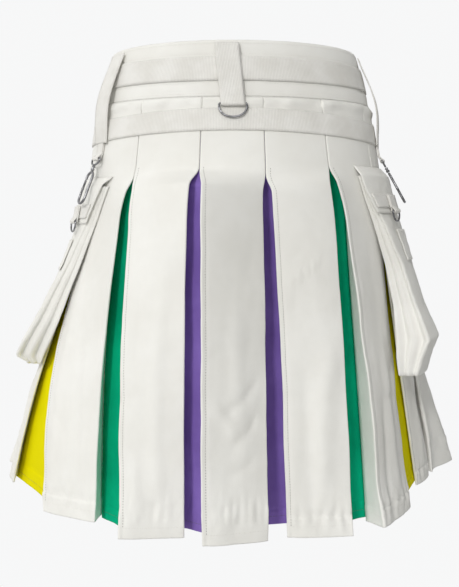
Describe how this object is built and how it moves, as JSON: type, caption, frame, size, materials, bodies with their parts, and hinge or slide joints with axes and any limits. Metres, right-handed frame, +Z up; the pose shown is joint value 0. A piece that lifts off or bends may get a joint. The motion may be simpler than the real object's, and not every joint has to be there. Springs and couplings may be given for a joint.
{
  "type": "utility kilt",
  "caption": "Knee-length utility kilt of off-white cotton twill, box-pleated behind over coloured insets, with webbing bands, side cargo pockets, D-rings and snap hooks.",
  "frame": {"origin": "on the centre line of the waist, halfway up the waistband", "axes": "+Z up, -Y towards the wearer's back, +X towards the wearer's right"},
  "size_m": [0.6855, 0.4547, 0.5965],
  "materials": {
    "cotton_twill": "matt twill",
    "cotton_webbing": "ribbed webbing",
    "purple_twill": "matt twill",
    "green_twill": "matt twill",
    "yellow_twill": "matt twill",
    "dark_steel": "dark polished"
  },
  "bodies": {
    "kilt": {"apron_outer": "cotton_twill", "apron_under": "cotton_twill", "back_panel_centre": "cotton_twill", "back_panel_left": "cotton_twill", "back_panel_right": "cotton_twill", "back_strap": "cotton_webbing", "belt_loop_left": "cotton_webbing", "belt_loop_right": "cotton_webbing", "hip_panel_left": "cotton_twill", "hip_panel_right": "cotton_twill", "hook_tab_left": "cotton_webbing", "hook_tab_right": "cotton_webbing", "inset_green_left": "green_twill", "inset_green_right": "green_twill", "inset_plain_left": "cotton_twill", "inset_plain_right": "cotton_twill", "inset_purple_left": "purple_twill", "inset_purple_right": "purple_twill", "inset_yellow_left": "yellow_twill", "inset_yellow_right": "yellow_twill", "lower_band": "cotton_webbing", "pocket_bag_left": "cotton_twill", "pocket_bag_right": "cotton_twill", "pocket_band_left": "cotton_webbing", "pocket_band_right": "cotton_webbing", "pocket_flap_left": "cotton_twill", "pocket_flap_right": "cotton_twill", "pocket_small_flap_left": "cotton_twill", "pocket_small_flap_right": "cotton_twill", "ring_tab_left": "cotton_webbing", "ring_tab_right": "cotton_webbing", "side_panel_left": "cotton_twill", "side_panel_right": "cotton_twill", "snap_stud_1": "dark_steel", "snap_stud_2": "dark_steel", "upper_tape": "cotton_webbing", "waistband": "cotton_twill"},
    "d_ring_back": {"d_ring_back": "dark_steel"},
    "d_ring_left": {"d_ring_left": "dark_steel"},
    "d_ring_right": {"d_ring_right": "dark_steel"},
    "hook_link_left": {"hook_eye_left": "dark_steel", "hook_swivel_left": "dark_steel"},
    "hook_link_right": {"hook_eye_right": "dark_steel", "hook_swivel_right": "dark_steel"},
    "gate_left": {"hook_gate_left": "dark_steel"},
    "gate_right": {"hook_gate_right": "dark_steel"},
    "hook_left": {"hook_loop_left": "dark_steel"},
    "hook_right": {"hook_loop_right": "dark_steel"}
  },
  "joints": [
    {"name": "d_ring_back_swing", "type": "hinge", "parent": "kilt", "child": "d_ring_back", "pos_m": [-0.0005, -0.12999, -0.044], "axis": [-1, 0, 0], "range_deg": [0, 140]},
    {"name": "d_ring_left_swing", "type": "hinge", "parent": "kilt", "child": "d_ring_left", "pos_m": [-0.21249, -0.05702, -0.1885], "axis": [-0.4032, 0.9151, 0], "range_deg": [0, 120]},
    {"name": "hook_left_swing", "type": "hinge", "parent": "kilt", "child": "hook_link_left", "pos_m": [-0.17924, -0.06661, -0.1065], "axis": [-0.5851, 0.811, 0], "range_deg": [0, 100]},
    {"name": "hook_left_swivel", "type": "hinge", "parent": "hook_link_left", "child": "hook_left", "pos_m": [-0.18488, -0.07068, -0.12288], "axis": [-0.3169, -0.2286, -0.9205], "range_deg": [-6, 6]},
    {"name": "gate_left", "type": "hinge", "parent": "hook_left", "child": "gate_left", "pos_m": [-0.19356, -0.06733, -0.13485], "axis": [-0.7465, -0.5386, 0.3907], "range_deg": [0, 25], "stiffness_Nm_per_rad": 0.002, "springref_deg": -28.65},
    {"name": "d_ring_right_swing", "type": "hinge", "parent": "kilt", "child": "d_ring_right", "pos_m": [0.21371, -0.07216, -0.1745], "axis": [-0.5117, -0.8592, 0], "range_deg": [0, 120]},
    {"name": "hook_right_swing", "type": "hinge", "parent": "kilt", "child": "hook_link_right", "pos_m": [0.20359, -0.02311, -0.1065], "axis": [-0.2235, -0.9747, 0], "range_deg": [0, 100]},
    {"name": "hook_right_swivel", "type": "hinge", "parent": "hook_link_right", "child": "hook_right", "pos_m": [0.212, -0.02504, -0.12207], "axis": [0.4725, -0.1084, -0.8746], "range_deg": [-6, 6]},
    {"name": "gate_right", "type": "hinge", "parent": "hook_right", "child": "gate_right", "pos_m": [0.2164, -0.03405, -0.13344], "axis": [0.8525, -0.1955, 0.4848], "range_deg": [0, 25], "stiffness_Nm_per_rad": 0.002, "springref_deg": -28.65}
  ]
}
